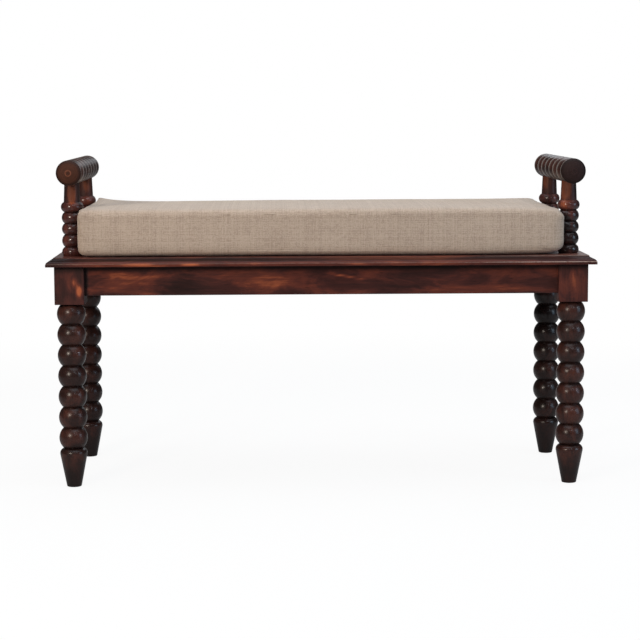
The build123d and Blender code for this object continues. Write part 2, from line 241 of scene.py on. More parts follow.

# How the patterns make up the shade of the stain, and how spots and pores show in it; then the painted shade
# in grooves and bands, and the painted highlights on crests and along edges.
FIGURE_EDGE = (0.36, 0.66)
RING_SHARE, FIBRE_SHARE = 0.42, 0.24
SPOT_EDGE, SPOT_RAGGED = (0.5, 1.6), 0.9
PORE_EDGE, PORE_DEPTH = (0.60, 0.74), 0.6
GROOVE_SHADE_START, GROOVE_SHADE_REACH, GROOVE_SHADE_DEPTH = 0.0005, 0.75, 0.72
CREST_HIGHLIGHT_START, CREST_HIGHLIGHT_FULL = 0.0005, 0.0001
CREST_HIGHLIGHT_CLOUDS, CREST_HIGHLIGHT_LEAST = (0.30, 0.55), 0.4
FINE_EDGE, GLINT_EDGE = 0.0003, 0.0005
GLINT_BREAKS, GLINT_LEAST = (0.20, 0.65), 0.1
GLINT_RUN, GLINT_LEFT_SHARE = (0.24, 0.42), 0.22
SHADE_BAND_RUN = (-0.25, 0.20)
CHANGE_REACH = 0.004

# Gloss and fine relief of the varnish, and how much duller the blocks, the necks and the rolls' ends are.
PATCH_RANGE, GLOSS_RANGE = (0.3, 0.7), (0.26, 0.40)
MATTE_GAIN, MATTE_COAT_SHARE, END_MATTE = 0.26, 0.15, 0.36
FIBRE_RELIEF, PORE_RELIEF = 0.6, -0.4
RELIEF_STRENGTH, RELIEF_DISTANCE = 0.12, 0.0006

# Ends of the rolls: lathe marks per metre, their light and dark, the ring at the centre and the dark rim.
END_GRAIN_FROM = 0.1665
LATHE_MARKS = 700.0
LATHE_SHARE, LATHE_CLOUD_SHARE = 0.7, 0.5
END_STOPS = ((0.30, 0.5), (0.85, 1.5))
CENTRE_RING_RADIUS = 0.005
CENTRE_RING_EDGE, CENTRE_RING_DEPTH = (0.0004, 0.0016), 0.75
RIM_EDGE, RIM_DEPTH = (0.015, 0.021), 0.55

# Values of the stained pieces by the start of their names. TURNED gives the radii of grooves and beads.
GRAIN_AXIS = {
    "leg": "Z",
    "arm_post": "Z",
    "arm_roll": "Y",
    "apron_front": "X",
    "apron_rear": "X",
    "apron_left": "Y",
    "apron_right": "Y",
    "seat_plank": "X",
}
TURNED = {"leg": (0.0176, 0.026), "arm_post": (0.0142, 0.0192), "arm_roll": (0.019, 0.023)}
TONE = {
    # The rear legs' lower tones are painted shade, for the shade under the seat.
    "leg_rear_right": -0.32,
    "leg_rear_left": -0.26,
    "leg_front_right": -0.115,
    "leg": -0.175,
    "arm_post": -0.08,
    "arm_roll": -0.16,
    "apron": 0.015,
    "seat_plank": 0.04,
}
FLAME = {"leg": 0.32, "arm_post": 0.40, "arm_roll": 0.28, "apron": 0.42, "seat_plank": 0.40}
FIGURE_RUN = {"leg": 20, "arm_post": 9, "arm_roll": 9, "apron": 9, "seat_plank": 4}
COAT = {"leg": 0.36, "arm_post": 0.40, "arm_roll": 0.0, "apron": 0.05, "seat_plank": 0.05}
COAT_ROUGH = {"leg": 0.27, "arm_post": 0.10, "arm_roll": 0.10, "apron": 0.10, "seat_plank": 0.10}
SPECULAR = {"leg": 0.14, "arm_post": 0.24, "arm_roll": 0.17, "apron": 0.16, "seat_plank": 0.12}
# Strength of the painted highlight on the crests of the rolls' beads.
CREST_HIGHLIGHT = {"arm_roll": 0.50}
# Heights above which a piece is duller, and up to which it has the browner stain.
MATTE_FROM = {"leg": 0.336, "arm_post": 0.518}
DARK_TO = {"leg": 0.336, "arm_roll": 1.0}
# Painted shade between two heights: in the seat's cove, and the painted shadow of the seat's overhang on the
# aprons and the tops of the legs. From, to, softness of the lower edge, depth at the left and at the right of
# the bench.
SEAT_COVE_SHADE = (SEAT_TOP - 0.0070, SEAT_TOP - 0.0012, 0.002, 0.85, 0.62)
OVERHANG_SHADOW = (SEAT_TOP - 0.0250, SEAT_TOP, 0.005, 0.7, 0.7)
SHADE_BANDS = {"leg": OVERHANG_SHADOW, "apron": OVERHANG_SHADOW, "seat_plank": SEAT_COVE_SHADE}
# Painted highlight lines along the seat's nose and top edge, standing in for glints of the lamps: from, to,
# strength.
EDGE_GLINTS = {
    "seat_plank": [
        (SEAT_TOP - 0.0112, SEAT_TOP - 0.0100, 0.95),
        (SEAT_TOP - 0.0010, SEAT_TOP - 0.0002, 0.60),
    ],
}
# Colour of a roll's ends, and how much brighter the ring at their centre is.
END_GRAIN = {
    "arm_roll_left": ((0.066, 0.0225, 0.0125), 3.6),
    "arm_roll_right": ((0.026, 0.0125, 0.0115), 1.6),
}
# Light and dark places: x, y, z, reach along the grain, reach across it, strength. Some are painted light and
# shade, as marked.
SPOTS = {
    "apron_front": [
        # Painted shadow of the left leg's block on the apron beside it.
        (-0.430, -0.166, 0.382, 0.006, 0.100, -0.50),
        (-0.376, -0.166, 0.393, 0.050, 0.014, 0.12),
        (-0.270, -0.166, 0.375, 0.060, 0.035, -0.22),
        (-0.095, -0.166, 0.380, 0.090, 0.028, 0.10),
        (0.016, -0.166, 0.3935, 0.014, 0.0035, 0.30),
        (0.034, -0.166, 0.3900, 0.016, 0.0035, 0.45),
        (0.052, -0.166, 0.3865, 0.016, 0.0035, 0.45),
        (0.070, -0.166, 0.3830, 0.014, 0.0035, 0.30),
        (0.170, -0.166, 0.375, 0.070, 0.035, -0.10),
    ],
    "leg_front_left": [
        (-0.441, -0.176, 0.364, 0.016, 0.008, 0.75),
        (-0.449, -0.176, 0.380, 0.012, 0.008, 0.40),
        (-0.459, -0.176, 0.375, 0.045, 0.045, 0.20),
    ],
    "leg_front_right": [(0.457, -0.176, 0.380, 0.050, 0.045, 0.22)],
    # Painted shadow of the apron on the top beads of the rear right leg.
    "leg_rear_right": [(0.459, 0.149, 0.280, 0.070, 0.070, -0.30)],
    "seat_plank_1": [
        (-0.490, -0.190, 0.414, 0.050, 0.050, -0.30),
        # Painted warm highlights along the seat's nose.
        (-0.330, -0.190, 0.413, 0.060, 0.004, 0.24),
        (-0.235, -0.190, 0.413, 0.040, 0.004, 0.26),
        (-0.130, -0.190, 0.413, 0.050, 0.004, 0.20),
        (0.065, -0.190, 0.413, 0.035, 0.004, 0.24),
    ],
    "arm_post_front_right": [
        # Painted light on the lit left of the neck and of its ring, painted shade on the neck's right, and
        # the painted shadow of the cushion on the lower beads.
        (0.447, -0.133, 0.550, 0.042, 0.020, 0.95),
        (0.446, -0.137, 0.512, 0.012, 0.014, 0.40),
        (0.463, -0.112, 0.550, 0.040, 0.018, -0.25),
        (0.457, -0.120, 0.462, 0.050, 0.050, -0.70),
    ],
    "arm_post_front_left": [
        # Painted light on the front of the neck, over its orange stain; then the whole neck a little darker.
        (-0.456, -0.134, 0.542, 0.034, 0.012, 1.15),
        (-0.457, -0.120, 0.550, 0.040, 0.030, -0.08),
    ],
    # Painted light on the front of the neck.
    "arm_post_rear_right": [(0.450, 0.107, 0.550, 0.032, 0.020, 0.45)],
    "arm_post_rear_left": [
        # Painted light on the front of the neck and of its ring.
        (-0.452, 0.105, 0.550, 0.036, 0.020, 0.62),
        (-0.452, 0.103, 0.512, 0.014, 0.016, 0.40),
    ],
}
# The dark end of each leg's foot: reach up it, reach across it, strength.
FOOT_SHADE = (0.085, 0.06, -0.14)


def wood_patterns(n, place, name, seed):
    """Patterns along a piece's grain, where a slow wander bends the figure and the growth rings."""
    along = n.mapping(place, turn=GRAIN_TURN[lookup(GRAIN_AXIS, name)])
    shifted = n.mapping(along, place=[seed * step for step in SEED_SHIFT])
    wander = n.noise(shifted, WANDER_SCALE, 2.0, 0.5)
    bent = n.add("ShaderNodeVectorMath", operation="ADD")
    n.link(shifted, bent.inputs[0])
    n.link(n.vector(0.0, *(n.times(wander, reach) for reach in WANDER_REACH)), bent.inputs[1])
    bent = bent.outputs[0]
    return {
        "shifted": shifted,
        "clouds": n.noise(bent, (lookup(FIGURE_RUN, name), FIGURE_ACROSS, FIGURE_ACROSS), 6.0, 0.62, 0.8),
        "rings": n.noise(bent, RING_SCALE, 4.0, 0.6, 0.5),
        "fibres": n.noise(shifted, FIBRE_SCALE, 3.0, 0.6),
        "pores": n.noise(shifted, PORE_SCALE, 1.0, 0.5),
        "patches": n.noise(shifted, PATCH_SCALE, 2.0, 0.5),
    }


def piece_spots(name):
    spots = list(SPOTS.get(name, ()))
    if name.startswith("leg"):
        spots.append((middle(name, 0), middle(name, 1), 0.0, *FOOT_SHADE))
    return spots


def stain_shade(n, place, patterns, name):
    """How light the stain is, from figure, growth rings, fibres and the piece's own spots, some of which are
    painted light and shade.
    """
    figure = n.smooth(patterns["clouds"], *FIGURE_EDGE)
    shade = n.total(
        (figure, lookup(FLAME, name)),
        (patterns["rings"], RING_SHARE),
        (patterns["fibres"], FIBRE_SHARE),
    )
    shade = n.math("ADD", shade, lookup(TONE, name))
    for x, y, z, along, across, strength in piece_spots(name):
        far = [along if letter == lookup(GRAIN_AXIS, name) else across for letter in "XYZ"]
        centre = [-part / reach for part, reach in zip((x, y, z), far)]
        offset = n.mapping(place, scale=[1 / reach for reach in far], place=centre)
        distance = n.add("ShaderNodeVectorMath", operation="LENGTH")
        n.link(offset, distance.inputs[0])
        ragged = n.total((distance.outputs["Value"], 1.0), (patterns["clouds"], SPOT_RAGGED))
        shade = n.math("ADD", shade, n.smooth(ragged, *SPOT_EDGE, strength, 0.0))
    return shade


def stain_colour(n, place, patterns, name):
    shade = stain_shade(n, place, patterns, name)
    colour = n.ramp(shade, STAIN)
    dark_to = lookup(DARK_TO, name)
    if dark_to:
        below = n.smooth(n.parts(place)[2], dark_to, dark_to + CHANGE_REACH, 1.0, 0.0)
        colour = n.mix(below, colour, n.ramp(shade, TURNED_STAIN))
    pores = n.range(patterns["pores"], *PORE_EDGE, 0.0, PORE_DEPTH)
    return n.mix(pores, colour, PORE_AND_SHADE_COLOUR)


def turned_radius(n, place, name):
    """Distance from the axis of a lathe-turned piece."""
    across = (0, 1) if lookup(GRAIN_AXIS, name) == "Z" else (0, 2)
    parts = n.parts(place)
    return n.length(*(n.math("SUBTRACT", parts[axis], middle(name, axis)) for axis in across))


def groove_shade_and_crest_highlight(n, radius, patterns, name, colour):
    """Painted shade darkening the grooves of a turned piece, and a painted highlight lightening its crests.
    """
    groove, bead = lookup(TURNED, name)
    shade_end = groove + (bead - groove) * GROOVE_SHADE_REACH
    groove_shade = n.smooth(radius, groove - GROOVE_SHADE_START, shade_end, GROOVE_SHADE_DEPTH, 0.0)
    colour = n.mix(groove_shade, colour, PORE_AND_SHADE_COLOUR)
    crest_highlight = lookup(CREST_HIGHLIGHT, name)
    if crest_highlight:
        crest = n.smooth(radius, bead - CREST_HIGHLIGHT_START, bead - CREST_HIGHLIGHT_FULL, 0.0, crest_highlight)
        patchy = n.smooth(patterns["clouds"], *CREST_HIGHLIGHT_CLOUDS, CREST_HIGHLIGHT_LEAST, 1.0)
        colour = n.mix(n.times(crest, patchy), colour, CREST_HIGHLIGHT_COLOUR)
    return colour


def painted_shade_band(n, place, band, colour):
    """Painted shade between two heights, changing in depth from left to right."""
    low, high, soft, left_depth, right_depth = band
    x, _, z = n.parts(place)
    inside = n.times(n.smooth(z, low - soft, low + soft), n.smooth(z, high - FINE_EDGE, high, 1.0, 0.0))
    depth = n.smooth(x, *SHADE_BAND_RUN, left_depth, right_depth)
    return n.mix(n.times(inside, depth), colour, PORE_AND_SHADE_COLOUR)


def painted_glint_line(n, place, patterns, edge, colour):
    """A broken painted highlight line between two heights, brightest at the right."""
    low, high, strength = edge
    x, _, z = n.parts(place)
    rise = n.smooth(z, low - GLINT_EDGE, low + FINE_EDGE)
    fall = n.smooth(z, high - FINE_EDGE, high + GLINT_EDGE, 1.0, 0.0)
    breaks = n.noise(patterns["shifted"], GLINT_BREAK_SCALE, 4.0, 0.8)
    line = n.times(n.times(rise, fall), n.smooth(breaks, *GLINT_BREAKS, GLINT_LEAST, strength))
    line = n.times(line, n.smooth(x, *GLINT_RUN, GLINT_LEFT_SHARE, 1.0))
    return n.mix(line, colour, EDGE_GLINT_COLOUR)


def roll_end(n, radius, patterns, name):
    """Colour of a roll's matte end: lathe marks, a ring at the centre and a dark rim."""
    end_colour, ring_gain = END_GRAIN[name]
    turns = n.noise(n.vector(n.times(radius, LATHE_MARKS)), (1, 1, 1), 2.0, 0.6)
    lathe = n.total((turns, LATHE_SHARE), (patterns["clouds"], LATHE_CLOUD_SHARE))
    stops = [(place, [gain * part for part in end_colour]) for place, gain in END_STOPS]
    from_ring = n.math("ABSOLUTE", n.math("SUBTRACT", radius, CENTRE_RING_RADIUS))
    ring = n.smooth(from_ring, *CENTRE_RING_EDGE, CENTRE_RING_DEPTH, 0.0)
    face = n.mix(ring, n.ramp(lathe, stops), (*(ring_gain * part for part in end_colour), 1.0))
    return n.mix(n.smooth(radius, *RIM_EDGE, 0.0, RIM_DEPTH), face, PORE_AND_SHADE_COLOUR)


def stained_wood(name, seed):
    """Stained and varnished hardwood, its grain along the piece."""
    n = material_nodes("stain_" + name)
    place = n.place()
    patterns = wood_patterns(n, place, name, seed)
    colour = stain_colour(n, place, patterns, name)
    gloss = n.range(patterns["patches"], *PATCH_RANGE, *GLOSS_RANGE)
    coat = lookup(COAT, name)
    if lookup(TURNED, name):
        radius = turned_radius(n, place, name)
        # Painted shade in the grooves, and on the rolls a painted highlight on the crests.
        colour = groove_shade_and_crest_highlight(n, radius, patterns, name, colour)
    # Painted shade in the seat's cove, and the painted shadow of the seat's overhang.
    if lookup(SHADE_BANDS, name):
        colour = painted_shade_band(n, place, lookup(SHADE_BANDS, name), colour)
    # Painted highlight lines along the seat's nose and top edge.
    for edge in lookup(EDGE_GLINTS, name, ()):
        colour = painted_glint_line(n, place, patterns, edge, colour)
    matte_from = lookup(MATTE_FROM, name)
    if matte_from:
        height = n.parts(place)[2]
        change = (matte_from, matte_from + CHANGE_REACH)
        gloss = n.math("ADD", gloss, n.smooth(height, *change, 0.0, MATTE_GAIN))
        coat = n.smooth(height, *change, coat, MATTE_COAT_SHARE * coat)
    if name in END_GRAIN:
        depth = n.math("ABSOLUTE", n.parts(place)[1])
        end = n.smooth(depth, END_GRAIN_FROM, END_GRAIN_FROM + CHANGE_REACH)
        colour = n.mix(end, colour, roll_end(n, radius, patterns, name))
        gloss = n.math("ADD", gloss, n.times(end, END_MATTE))
    relief = n.total((patterns["fibres"], FIBRE_RELIEF), (patterns["pores"], PORE_RELIEF))
    n.principled(
        Base_Color=colour,
        Roughness=gloss,
        Specular_IOR_Level=lookup(SPECULAR, name),
        Coat_Weight=coat,
        Coat_Roughness=lookup(COAT_ROUGH, name),
        Normal=n.bump(relief, RELIEF_STRENGTH, RELIEF_DISTANCE),
    )
    return n.owner


PLAIN_WOOD = [(0.3, (0.20, 0.115, 0.060)), (0.5, (0.33, 0.205, 0.115)), (0.72, (0.44, 0.30, 0.18))]
PLAIN_SHIFT = (1.31, 0.77, 0.21)
PLAIN_RING_SCALE = (3, 60, 60)
PLAIN_FIBRE_SCALE = (20, 600, 600)


def plain_wood(name, axis, seed):
    """Pale unfinished wood of the hidden pieces."""
    n = material_nodes(name)
    along = n.mapping(n.place(), turn=GRAIN_TURN[axis])
    shifted = n.mapping(along, place=[seed * step for step in PLAIN_SHIFT])
    rings = n.noise(shifted, PLAIN_RING_SCALE, 5.0, 0.6, 0.8)
    fibres = n.noise(shifted, PLAIN_FIBRE_SCALE, 2.0, 0.6)
    grain = n.total((rings, 0.75), (fibres, 0.25))
    n.principled(Base_Color=n.ramp(grain, PLAIN_WOOD), Roughness=0.72, Normal=n.bump(fibres, 0.25, 0.0008))
    return n.owner


ZINC = [(0.3, (0.42, 0.41, 0.38)), (0.7, (0.62, 0.61, 0.57))]
ZINC_SCALE = (900, 900, 900)
ZINC_GLOSS = (0.28, 0.48)


def zinc(name):
    """Zinc-plated steel of the screws."""
    n = material_nodes(name)
    mottle = n.noise(n.place(), ZINC_SCALE, 3.0, 0.6)
    gloss = n.range(mottle, 0.3, 0.7, *ZINC_GLOSS)
    n.principled(Base_Color=n.ramp(mottle, ZINC), Metallic=1.0, Roughness=gloss)
    return n.owner


# Linen: thread pitch in metres, then repeats per metre across and up the cloth.
LINEN = [
    (0.0, (0.384, 0.290, 0.226)),
    (0.5, (0.472, 0.364, 0.287)),
    (1.0, (0.560, 0.444, 0.354)),
]
LINEN_GAP = (0.27, 0.205, 0.155, 1.0)
THREAD_PITCH = 0.00125
WARP_SLUB_SCALE = (560, 95, 1)
WEFT_SLUB_SCALE, WEFT_SLUB_SHIFT = (85, 580, 1), (3.1, 7.7, 0)
CLOUD_SCALE, CLOUD_SHIFT = (26, 34, 1), (1.7, 4.1, 0)
SPECK_SCALE = (420, 460, 1)
THREAD_SHARE, WARP_SLUB_SHARE, WEFT_SLUB_SHARE = 0.16, 0.55, 0.60
SPECK_SHARE, CLOUD_SHARE = 0.85, 0.35
TINT_RANGE = (1.08, 1.47)
GAP_REACH, GAP_DEPTH = 0.55, 0.15
SLUB_BULK = 1.2
WEAVE_STRENGTH, WEAVE_DISTANCE = 0.28, 0.0005
FACING = 0.7


def linen(name):
    """Plain-woven linen with slubs, its threads laid flat on whichever way the cloth faces."""
    n = material_nodes(name)
    coords = n.add("ShaderNodeTexCoord")
    x, y, z = n.parts(coords.outputs["Object"])
    normal_x, _, normal_z = n.parts(coords.outputs["Normal"])
    faces_up = n.math("GREATER_THAN", n.math("ABSOLUTE", normal_z), FACING)
    faces_side = n.math("GREATER_THAN", n.math("ABSOLUTE", normal_x), FACING)
    across = n.math("ADD", x, n.times(faces_side, n.math("SUBTRACT", y, x)))
    upward = n.math("ADD", z, n.times(faces_up, n.math("SUBTRACT", y, z)))
    # Single threads, each a little lighter or darker, passing over and under in turn.
    warp = n.math("DIVIDE", across, THREAD_PITCH)
    weft = n.math("DIVIDE", upward, THREAD_PITCH)
    warp_number = n.math("FLOOR", warp)
    weft_number = n.math("FLOOR", weft)
    over = n.math("PINGPONG", n.math("ADD", warp_number, weft_number), 1.0)
    under = n.math("SUBTRACT", 1.0, over)
    warp_round = n.math("ABSOLUTE", n.math("SINE", n.times(warp, pi)))
    weft_round = n.math("ABSOLUTE", n.math("SINE", n.times(weft, pi)))
    height = n.math("ADD", n.times(over, warp_round), n.times(under, weft_round))
    # Slubs, specks and slow clouds over the threads' own tints.
    cloth = n.vector(across, upward)
    warp_slub = n.noise(cloth, WARP_SLUB_SCALE, 2.0, 0.6)
    weft_slub = n.noise(cloth, WEFT_SLUB_SCALE, 2.0, 0.6, place=WEFT_SLUB_SHIFT)
    tint = n.total(
        (n.random(warp_number), THREAD_SHARE),
        (n.random(n.math("ADD", weft_number, 0.37)), THREAD_SHARE),
        (warp_slub, WARP_SLUB_SHARE),
        (weft_slub, WEFT_SLUB_SHARE),
        (n.noise(cloth, SPECK_SCALE, 2.0, 0.7), SPECK_SHARE),
        (n.noise(cloth, CLOUD_SCALE, 3.0, 0.6, place=CLOUD_SHIFT), CLOUD_SHARE),
    )
    thread = n.ramp(n.range(tint, *TINT_RANGE, 0.0, 1.0), LINEN)
    gap = n.range(height, 0.0, GAP_REACH, GAP_DEPTH, 0.0)
    bulk = n.math("ADD", height, n.times(n.math("ADD", warp_slub, weft_slub), SLUB_BULK))
    n.principled(
        Base_Color=n.mix(gap, thread, LINEN_GAP),
        Roughness=0.88,
        Specular_IOR_Level=0.2,
        Sheen_Weight=0.25,
        Sheen_Roughness=0.45,
        Sheen_Tint=(1.0, 0.98, 0.95, 1.0),
        Normal=n.bump(bulk, WEAVE_STRENGTH, WEAVE_DISTANCE),
    )
    return n.owner


def dress_nodes():
    for seed, name in enumerate(sorted(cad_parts), start=1):
        if name.startswith("cushion"):
            continue
        if name.endswith("screws"):
            material = zinc("zinc_" + name)
        elif name == "seat_cross_rail":
            material = plain_wood("plain_" + name, "Y", seed)
        elif name.startswith("corner_block"):
            material = plain_wood("plain_" + name, "X", seed)
        else:
            material = stained_wood(name, seed)
        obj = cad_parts[name]
        if not obj.material_slots:
            obj.data.materials.append(material)
        for slot in obj.material_slots:
            slot.material = material


# Start of the cushion, in metres: a little small, its sides drawn in between the corners.
# Its front right corner is slack, so it is rounder than the others.
CUSHION_START_INSET = 0.0015
CUSHION_DRAW_IN = 0.0034
DRAW_IN_EDGE = (0.9, 1.0)
CORNER_RADIUS = 0.010
SOFT_CORNER_RADIUS = 0.034
LEAST_CORNER_RADIUS, CORNER_INSET_SHARE = 0.002, 0.3
SOFT_REACH = (0.01, 0.15)
LOW_ROUND = (0.018, 0.0125)
SOFT_LOW_ROUND = (0.030, 0.018)
TOP_ROUND = (0.010, 0.010)
OUTLINE_STEPS, ROUND_STEPS = 14, 7
FRONT_STEPS, END_STEPS = 40, 18
BASE_SCALES = (0.25, 0.5, 0.75)
CUSHION_VOXEL = 0.005
RELAX_ROUNDS = 2


def smoothstep(low, high, value):
    share = min(1.0, max(0.0, (value - low) / (high - low)))
    return share * share * (3 - 2 * share)


def soft_share(x, y):
    """1 at the slack front right corner of the cushion, 0 away from it."""
    away = hypot(x - CUSHION_HIGH[0], y - CUSHION_LOW[1])
    return 1 - smoothstep(*SOFT_REACH, away)


def corner_points(reach_x, reach_y, inset):
    """Points round the four corners of the plan outline, an equal number at each."""
    points = []
    for turn, (side, end) in enumerate(((1, -1), (1, 1), (-1, 1), (-1, -1))):
        radius = SOFT_CORNER_RADIUS if (side, end) == (1, -1) else CORNER_RADIUS
        radius = max(LEAST_CORNER_RADIUS, radius - inset * CORNER_INSET_SHARE)
        for step in range(OUTLINE_STEPS + 1):
            angle = radians(90 * (turn - 1) + 90 * step / OUTLINE_STEPS)
            x = side * (reach_x - radius) + radius * cos(angle)
            y = end * (reach_y - radius) + radius * sin(angle)
            points.append((x, y))
    return points


def outline(inset):
    """Plan outline with its corners rounded and its sides drawn in between them."""
    reach_x = CUSHION_HIGH[0] - inset
    reach_y = CUSHION_HIGH[1] - inset
    points = corner_points(reach_x, reach_y, inset)
    sides = []
    for index, (x, y) in enumerate(points):
        sides.append((x, y))
        if index % (OUTLINE_STEPS + 1) == OUTLINE_STEPS:
            next_x, next_y = points[(index + 1) % len(points)]
            count = FRONT_STEPS if abs(next_x - x) > abs(next_y - y) else END_STEPS
            for step in range(1, count):
                share = step / count
                sides.append((x + (next_x - x) * share, y + (next_y - y) * share))
    drawn = []
    for x, y in sides:
        pull_x = CUSHION_DRAW_IN * (1 - (y / reach_y) ** 2) * smoothstep(*DRAW_IN_EDGE, abs(x) / reach_x)
        pull_y = CUSHION_DRAW_IN * (1 - (x / reach_x) ** 2) * smoothstep(*DRAW_IN_EDGE, abs(y) / reach_y)
        drawn.append((x - pull_x * (1 if x > 0 else -1), y - pull_y * (1 if y > 0 else -1)))
    return drawn


def cushion_rings():
    """Rings of points from the middle of the base, up the sides and over to the middle of the top."""
    base, top = CUSHION_LOW[2], CUSHION_HIGH[2] - 2 * CUSHION_START_INSET
    outer = outline(CUSHION_START_INSET)

    def ring(run_at, z_at, scale=1.0):
        points = []
        for x, y in outer:
            soft = soft_share(x, y)
            run, z = run_at(soft), z_at(soft)
            in_x = 1 - run / CUSHION_HIGH[0]
            in_y = 1 - run / CUSHION_HIGH[1]
            points.append((x * in_x * scale, y * in_y * scale, z))
        return points

    def low_run(soft):
        return LOW_ROUND[0] + soft * (SOFT_LOW_ROUND[0] - LOW_ROUND[0])

    def low_rise(soft):
        return LOW_ROUND[1] + soft * (SOFT_LOW_ROUND[1] - LOW_ROUND[1])

    angles = [radians(90 * step / ROUND_STEPS) for step in range(ROUND_STEPS + 1)]
    rings = [ring(low_run, lambda soft: base, scale) for scale in BASE_SCALES]
    for angle in angles:
        rings.append(ring(
            lambda soft: low_run(soft) * (1 - sin(angle)),
            lambda soft: base + low_rise(soft) * (1 - cos(angle)),
        ))
    for angle in angles:
        rings.append(ring(
            lambda soft: TOP_ROUND[0] * (1 - cos(angle)),
            lambda soft: top - TOP_ROUND[1] * (1 - sin(angle)),
        ))
    for scale in reversed(BASE_SCALES):
        rings.append(ring(lambda soft: TOP_ROUND[0], lambda soft: top, scale))
    return rings, (0, 0, base), (0, 0, top)


def mesh_object(name, mesh):
    obj = bpy.data.objects.new(name, mesh)
    scene.collection.objects.link(obj)
    return obj


def applied_mesh(obj):
    graph = bpy.context.evaluated_depsgraph_get()
    return bpy.data.meshes.new_from_object(obj.evaluated_get(graph), depsgraph=graph).copy()


def cushion_start():
    rings, low_middle, top_middle = cushion_rings()
    points = [low_middle] + [point for ring in rings for point in ring] + [top_middle]
    size = len(rings[0])
    faces = []
    for step in range(size):
        after = (step + 1) % size
        faces.append((0, 1 + after, 1 + step))
        for level in range(len(rings) - 1):
            here = 1 + level * size
            faces.append((here + step, here + after, here + size + after, here + size + step))
        last = 1 + (len(rings) - 1) * size
        faces.append((last + step, last + after, len(points) - 1))
    mesh = bpy.data.meshes.new("cushion_start")
    mesh.from_pydata(points, [], faces)
    return mesh


def relax(mesh):
    """Takes the voxel steps out of a mesh by moving each point towards its neighbours."""
    work = bmesh.new()
    work.from_mesh(mesh)
    axes = {"use_axis_x": True, "use_axis_y": True, "use_axis_z": True}
    for _ in range(RELAX_ROUNDS):
        bmesh.ops.smooth_vert(work, verts=work.verts, factor=0.5, **axes)
    work.to_mesh(mesh)
    work.free()


# Swelling of the cover in metres: what is kept of it, least along the sewn edges, evened out over neighbours.
CUSHION_PRESSURE = 4.0
SWELL_FRAMES = 20
HELD_HEIGHT = 0.001
CUSHION_SWELL = 0.0024
EDGE_SWELL = 0.0008
EDGE_REACH = 0.050
CALM_ROUNDS = 24


def swell_cap(place):
    """How far the cover may swell: least along its sewn edges and corners, most in the middle of a panel."""
    distances = sorted((
        CUSHION_HIGH[0] - abs(place.x),
        CUSHION_HIGH[1] - abs(place.y),
        CUSHION_HIGH[2] - place.z,
    ))
    return EDGE_SWELL + (CUSHION_SWELL - EDGE_SWELL) * smoothstep(0.0, EDGE_REACH, distances[1])


def calm(mesh, values):
    """Evens out one value for each point of a mesh over its neighbours."""
    near = [[] for _ in values]
    for first, second in (edge.vertices for edge in mesh.edges):
        near[first].append(second)
        near[second].append(first)
    for _ in range(CALM_ROUNDS):
        values = [
            (value + sum(values[other] for other in others) / len(others)) / 2
            for value, others in zip(values, near)
        ]
    return values


def add_cloth(obj):
    cloth = obj.modifiers.new("cloth", "CLOTH")
    settings = cloth.settings
    settings.quality = 6
    settings.mass = 0.3
    settings.tension_stiffness = 15
    settings.compression_stiffness = 15
    settings.shear_stiffness = 8
    settings.bending_stiffness = 2
    settings.use_pressure = True
    settings.uniform_pressure_force = CUSHION_PRESSURE
    settings.vertex_group_mass = "held"
    settings.effector_weights.gravity = 0
    cloth.point_cache.frame_start = 1
    cloth.point_cache.frame_end = SWELL_FRAMES


def swell(start):
    """Blows the cover up as cloth under pressure, its base held, and keeps what swells outwards."""
    obj = mesh_object("cushion_cloth", start)
    held = obj.vertex_groups.new(name="held")
    for vertex in start.vertices:
        if vertex.co.z < CUSHION_LOW[2] + HELD_HEIGHT:
            held.add([vertex.index], 1.0, "REPLACE")
    add_cloth(obj)
    for number in range(1, SWELL_FRAMES + 1):
        scene.frame_set(number)
    blown = applied_mesh(obj)
    outward = []
    for vertex, before in zip(blown.vertices, start.vertices):
        out = (vertex.co - before.co).dot(before.normal)
        outward.append(max(0.0, min(out, swell_cap(before.co))))
    for vertex, before, out in zip(blown.vertices, start.vertices, calm(start, outward)):
        vertex.co = before.co + before.normal * out
    bpy.data.objects.remove(obj)
    scene.frame_set(1)
    return blown


# Fit of the cushion, in metres. Its left end is side -1 and its right end side 1.
END_DRAW_IN = 0.0012
PROFILE_STEP = 0.008
FRONT_FLARE = {-1: 0.0090, 1: 0.0118}
FLARE_START, FLARE_END = -0.116, -0.160
FLARE_TOP_LOSS = {-1: 0.45, 1: 0.80}
FLARE_TOP_REACH, FLARE_TOP_EDGE = 0.022, 0.002
POST_SIDE_ROOM = 0.0003
REST_GAP = 0.0003
# Sharp upper edges at the ends: strength, share of the height, distance from the end, depth at the right end.
CRISP_EDGE = {-1: 0.85, 1: 0.60}
CRISP_RISE = (0.70, 0.85)
CRISP_GAP = (0.008, 0.036)
CRISP_RIGHT_DEPTH = (-0.100, -0.145)
# Places where the top stands up or sinks: side, end, height and reach.
EARS = [
    (-1, 1, 0.0050, 0.048),
    (1, 1, 0.0010, 0.060),
    (-1, -1, 0.0010, 0.040),
    (1, -1, -0.0030, 0.060),
    (-0.62, 1, -0.0010, 0.13),
]
TOP_TILT = 0.0006
TOP_DROP = 0.0015
END_LIP, END_LIP_REACH, END_LIP_DEPTH = 0.0035, 0.014, (-0.165, -0.10)
LIFT_RISE = (0.45, 1.0)
RIPPLE_SIZES = ((9.0, 0.0004), (23.0, 0.0002))
RIPPLE_RISE = (0.002, 0.02)
RIPPLE_SEED = 7


def flare_share(side, y, z):
    """How much of the front flare a point takes: none behind the arm posts, less along the top edge."""
    near_top = smoothstep(CUSHION_HIGH[2] - FLARE_TOP_REACH, CUSHION_HIGH[2] - FLARE_TOP_EDGE, z)
    return smoothstep(FLARE_START, FLARE_END, y) * (1 - FLARE_TOP_LOSS[side] * near_top)


